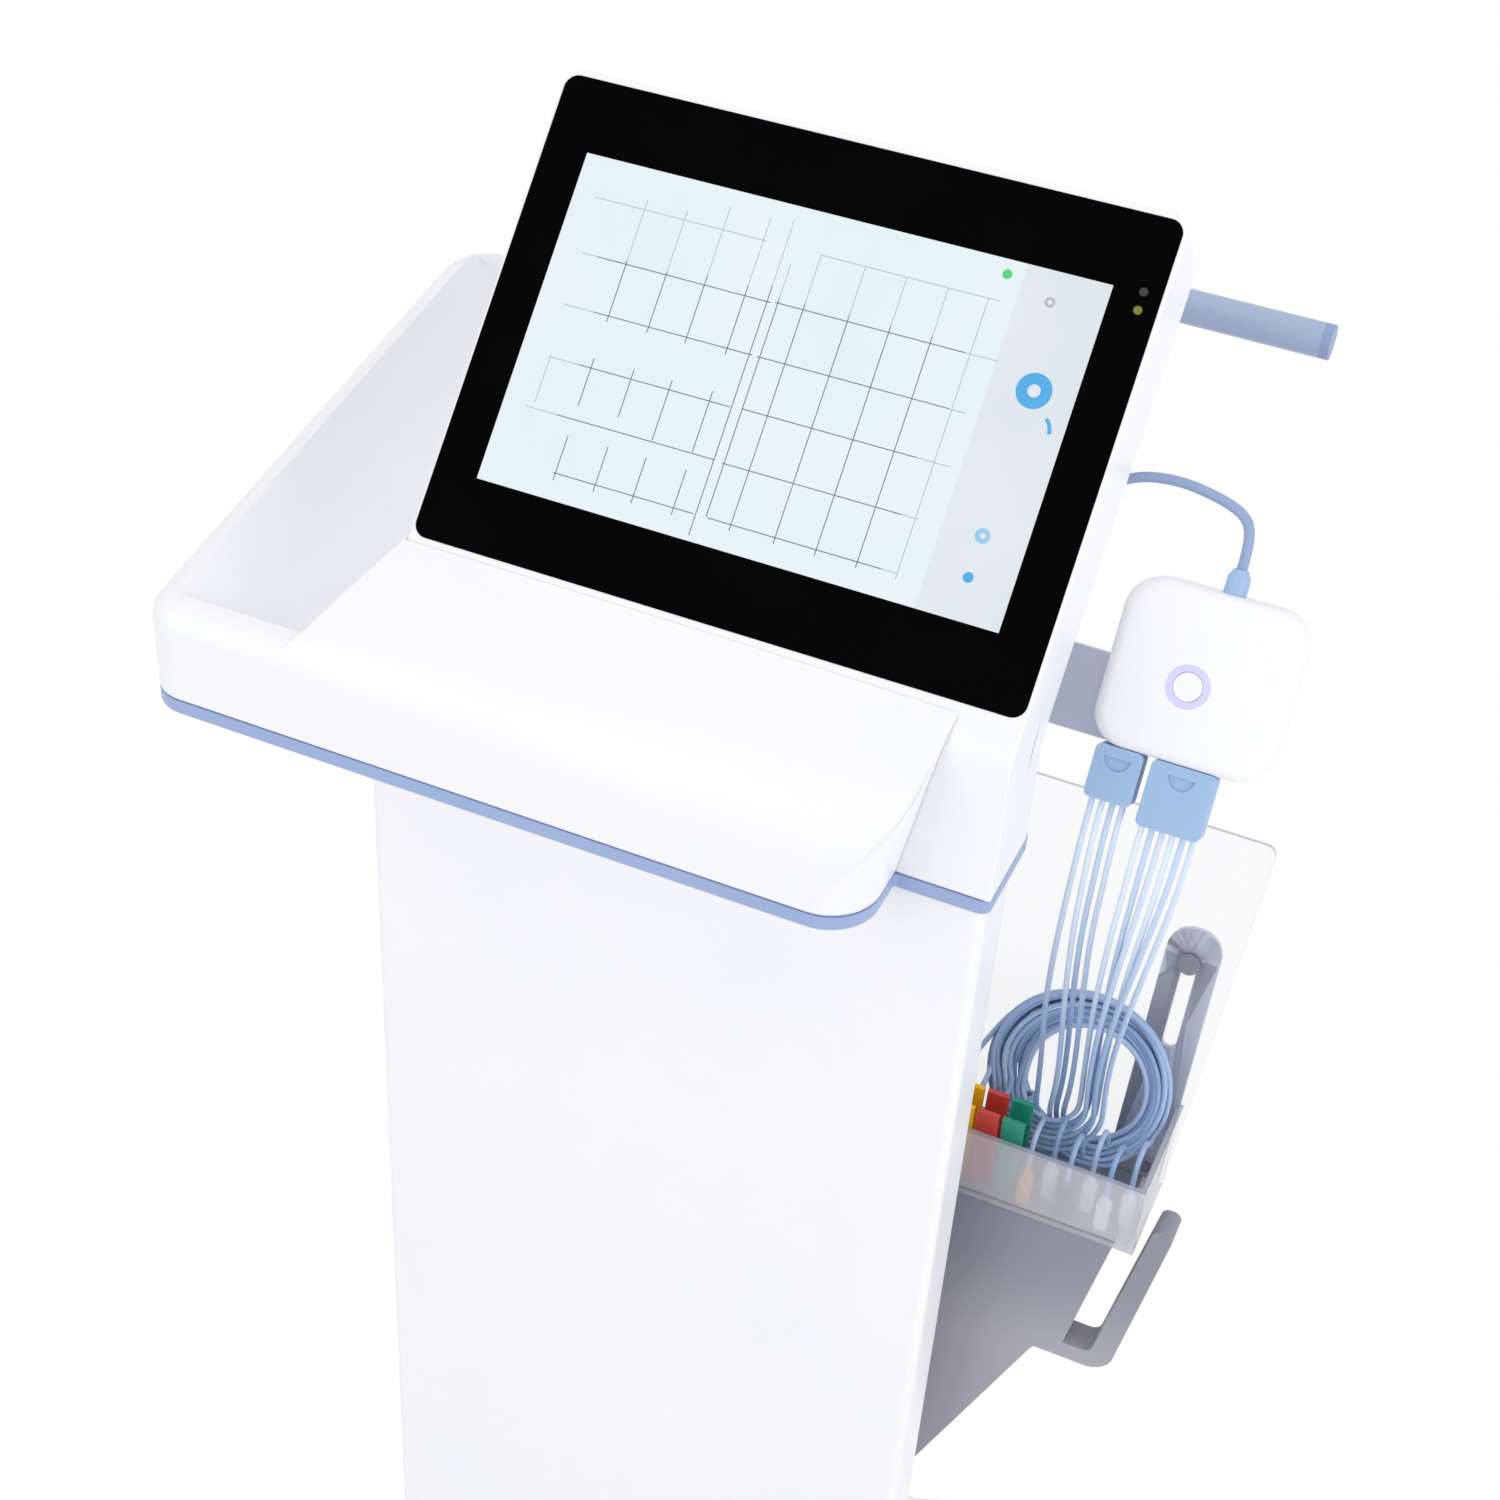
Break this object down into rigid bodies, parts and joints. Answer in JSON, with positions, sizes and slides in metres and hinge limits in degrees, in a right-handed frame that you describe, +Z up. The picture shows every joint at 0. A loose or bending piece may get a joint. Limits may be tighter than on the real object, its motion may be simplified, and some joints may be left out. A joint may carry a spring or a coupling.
{
  "type": "ecg machine on a trolley",
  "caption": "White ECG machine on a castor trolley: leaning touch screen, dished shelf, wide column, push handle, and a side module with patient leads, limb clamps and a clear lead tray.",
  "frame": {"origin": "on the floor below the middle of the base, at the middle of the bounding box's bottom", "axes": "+X to the right of a user facing the screen, +Y away from that user to the push handle, +Z up"},
  "size_m": [0.584, 0.411, 1.1784],
  "materials": {
    "white_plastic": "satin moulded",
    "white_metal": "white powder coat",
    "trim_blue": "satin moulded",
    "handle_blue": "powder coat",
    "handle_cap": "moulded",
    "black_glass": "polished, printed black behind",
    "display": "matt film",
    "circuit": "solder mask",
    "status_light": "clear moulded",
    "ring_light": "frosted",
    "plug_blue": "moulded",
    "lead_blue": "smooth jacket",
    "clip_white": "moulded",
    "clear_plastic": "clear polished",
    "support_blue": "moulded",
    "bracket_grey": "moulded",
    "screw_steel": "machined",
    "clamp_black": "moulded",
    "clamp_red": "moulded",
    "clamp_green": "moulded",
    "clamp_yellow": "moulded",
    "castor_grey": "moulded",
    "castor_tyre": "moulded tread",
    "pedal_blue": "moulded",
    "black_plastic": "moulded",
    "battery_case": "moulded",
    "supply_case": "potted in a sheet case"
  },
  "bodies": {
    "cart": {"base_cover": "white_plastic", "base_frame": "white_metal", "battery_pack": "battery_case", "board_screws": "screw_steel", "board_support": "support_blue", "chest_clips": "clip_white", "chest_lead_plug": "plug_blue", "chest_leads": "lead_blue", "clamp_body_black": "clamp_black", "clamp_body_green": "clamp_green", "clamp_body_red": "clamp_red", "clamp_body_yellow": "clamp_yellow", "column_front_cover": "white_plastic", "column_post": "white_metal", "column_rear_cover": "white_plastic", "cover_carrier": "white_metal", "edge_trim": "trim_blue", "handle_bar": "handle_blue", "handle_brackets": "handle_blue", "handle_end_caps": "handle_cap", "head_front_shell": "white_plastic", "head_rear_shell": "white_plastic", "lcd_panel": "display", "lead_board": "clear_plastic", "lead_coil": "lead_blue", "lead_tray": "clear_plastic", "limb_lead_plug": "plug_blue", "limb_leads": "lead_blue", "main_board": "circuit", "module_board": "circuit", "module_cable": "lead_blue", "module_cable_plug": "plug_blue", "module_cable_socket": "plug_blue", "module_cradle": "support_blue", "module_front_shell": "white_plastic", "module_rear_shell": "white_plastic", "module_ring_light": "ring_light", "power_inlet": "black_plastic", "power_supply": "supply_case", "shelf": "white_plastic", "shelf_pan": "white_metal", "side_bracket": "bracket_grey", "status_lights": "status_light", "touch_glass": "black_glass"},
    "castor_front_left": {"castor_fork_front_left": "castor_grey"},
    "wheel_front_left": {"castor_wheel_front_left": "castor_tyre"},
    "pedal_front_left": {"brake_pedal_front_left": "pedal_blue"},
    "castor_front_right": {"castor_fork_front_right": "castor_grey"},
    "wheel_front_right": {"castor_wheel_front_right": "castor_tyre"},
    "pedal_front_right": {"brake_pedal_front_right": "pedal_blue"},
    "castor_rear_left": {"castor_fork_rear_left": "castor_grey"},
    "wheel_rear_left": {"castor_wheel_rear_left": "castor_tyre"},
    "castor_rear_right": {"castor_fork_rear_right": "castor_grey"},
    "wheel_rear_right": {"castor_wheel_rear_right": "castor_tyre"},
    "power_switch": {"power_switch": "black_plastic"},
    "module_button": {"module_button": "white_plastic"},
    "jaw_black": {"clamp_jaw_black": "clamp_black"},
    "jaw_yellow": {"clamp_jaw_yellow": "clamp_yellow"},
    "jaw_red": {"clamp_jaw_red": "clamp_red"},
    "jaw_green": {"clamp_jaw_green": "clamp_green"}
  },
  "joints": [
    {"name": "swivel_front_left", "type": "hinge", "parent": "cart", "child": "castor_front_left", "pos_m": [-0.262, -0.144, 0.094], "axis": [0, 0, 1], "continuous": true},
    {"name": "roll_front_left", "type": "hinge", "parent": "castor_front_left", "child": "wheel_front_left", "pos_m": [-0.262, -0.168, 0.0375], "axis": [1, 0, 0], "continuous": true},
    {"name": "brake_front_left", "type": "hinge", "parent": "castor_front_left", "child": "pedal_front_left", "pos_m": [-0.262, -0.182, 0.079], "axis": [-1, 0, 0], "range_deg": [0, 12]},
    {"name": "swivel_front_right", "type": "hinge", "parent": "cart", "child": "castor_front_right", "pos_m": [0.262, -0.144, 0.094], "axis": [0, 0, 1], "continuous": true},
    {"name": "roll_front_right", "type": "hinge", "parent": "castor_front_right", "child": "wheel_front_right", "pos_m": [0.262, -0.168, 0.0375], "axis": [1, 0, 0], "continuous": true},
    {"name": "brake_front_right", "type": "hinge", "parent": "castor_front_right", "child": "pedal_front_right", "pos_m": [0.262, -0.182, 0.079], "axis": [-1, 0, 0], "range_deg": [0, 12]},
    {"name": "swivel_rear_left", "type": "hinge", "parent": "cart", "child": "castor_rear_left", "pos_m": [-0.262, 0.144, 0.094], "axis": [0, 0, 1], "continuous": true},
    {"name": "roll_rear_left", "type": "hinge", "parent": "castor_rear_left", "child": "wheel_rear_left", "pos_m": [-0.262, 0.168, 0.0375], "axis": [1, 0, 0], "continuous": true},
    {"name": "swivel_rear_right", "type": "hinge", "parent": "cart", "child": "castor_rear_right", "pos_m": [0.262, 0.144, 0.094], "axis": [0, 0, 1], "continuous": true},
    {"name": "roll_rear_right", "type": "hinge", "parent": "castor_rear_right", "child": "wheel_rear_right", "pos_m": [0.262, 0.168, 0.0375], "axis": [1, 0, 0], "continuous": true},
    {"name": "power_rocker", "type": "hinge", "parent": "cart", "child": "power_switch", "pos_m": [0.017, 0.1, 0.188], "axis": [-1, 0, 0], "range_deg": [0, 16]},
    {"name": "button_press", "type": "slide", "parent": "cart", "child": "module_button", "axis": [0, 0.866, -0.5], "range_m": [0, 0.0012], "stiffness_N_per_m": 600},
    {"name": "clamp_black", "type": "hinge", "parent": "cart", "child": "jaw_black", "pos_m": [0.137, -0.0455, 0.6705], "axis": [-1, 0, 0], "range_deg": [0, 15], "stiffness_Nm_per_rad": 0.2},
    {"name": "clamp_yellow", "type": "hinge", "parent": "cart", "child": "jaw_yellow", "pos_m": [0.151, -0.0455, 0.6705], "axis": [-1, 0, 0], "range_deg": [0, 15], "stiffness_Nm_per_rad": 0.2},
    {"name": "clamp_red", "type": "hinge", "parent": "cart", "child": "jaw_red", "pos_m": [0.165, -0.0455, 0.6705], "axis": [-1, 0, 0], "range_deg": [0, 15], "stiffness_Nm_per_rad": 0.2},
    {"name": "clamp_green", "type": "hinge", "parent": "cart", "child": "jaw_green", "pos_m": [0.179, -0.0455, 0.6705], "axis": [-1, 0, 0], "range_deg": [0, 15], "stiffness_Nm_per_rad": 0.2}
  ]
}
